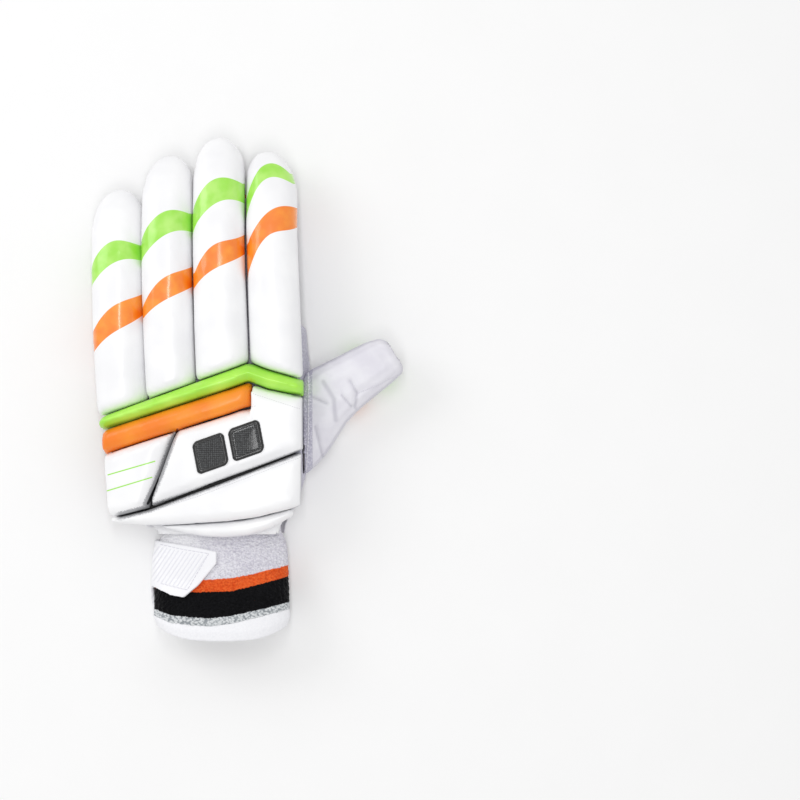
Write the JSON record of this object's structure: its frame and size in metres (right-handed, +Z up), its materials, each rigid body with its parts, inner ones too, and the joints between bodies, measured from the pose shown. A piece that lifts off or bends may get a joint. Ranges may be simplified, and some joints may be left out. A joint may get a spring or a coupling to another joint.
{
  "type": "cricket batting glove",
  "caption": "Left-hand cricket batting glove lying palm down, with padded finger rolls, back panels, thumb stall, strap and knitted cuff.",
  "frame": {"origin": "middle of the bounding box's base, on the surface that the glove lies on", "axes": "+Y towards the fingertips, +X towards the thumb, +Z up through the padded back"},
  "size_m": [0.1824, 0.293, 0.0477],
  "materials": {
    "white_cover": "smooth coated leather with a soft gloss",
    "palm_leather": "soft fine-grained sheepskin, matt",
    "thumb_leather": "smooth pale grey leather, matt",
    "green_cover": "glossy coated leather",
    "orange_cover": "glossy coated leather",
    "grey_base": "matt coated leather",
    "black_block": "moulded, satin with a fine cross hatch",
    "back_mesh": "fine knitted mesh",
    "black_elastic": "woven elastic with a pale chain pattern",
    "orange_piping": "covered piping cord",
    "towelling": "knitted towelling with orange, black and grey stripes",
    "strap_cover": "embossed coated leather, stitched"
  },
  "bodies": {
    "root": {"palm_leather": "palm_leather", "back_fabric": "back_mesh", "thumb_leather": "thumb_leather", "thumb_base_pad": "white_cover", "thumb_tip_pad": "white_cover", "roll_little": "white_cover", "roll_ring": "white_cover", "roll_middle": "white_cover", "roll_index": "white_cover", "cap_band_little": "palm_leather", "cap_little": "white_cover", "cap_band_ring": "palm_leather", "cap_ring": "white_cover", "cap_band_middle": "palm_leather", "cap_middle": "white_cover", "cap_band_index": "palm_leather", "cap_index": "white_cover", "knuckle_band": "green_cover", "base_pad": "grey_base", "orange_panel": "orange_cover", "left_panel": "white_cover", "centre_panel": "white_cover", "bottom_panel": "white_cover", "badge_block_1": "black_block", "badge_block_2": "black_block", "wrist_lip": "white_cover", "palm_patch": "palm_leather", "side_tape": "black_elastic", "piping_inner": "orange_piping", "piping_outer": "orange_piping", "cuff": "towelling", "wrist_strap": "strap_cover", "pull_loop": "palm_leather"}
  },
  "joints": []
}
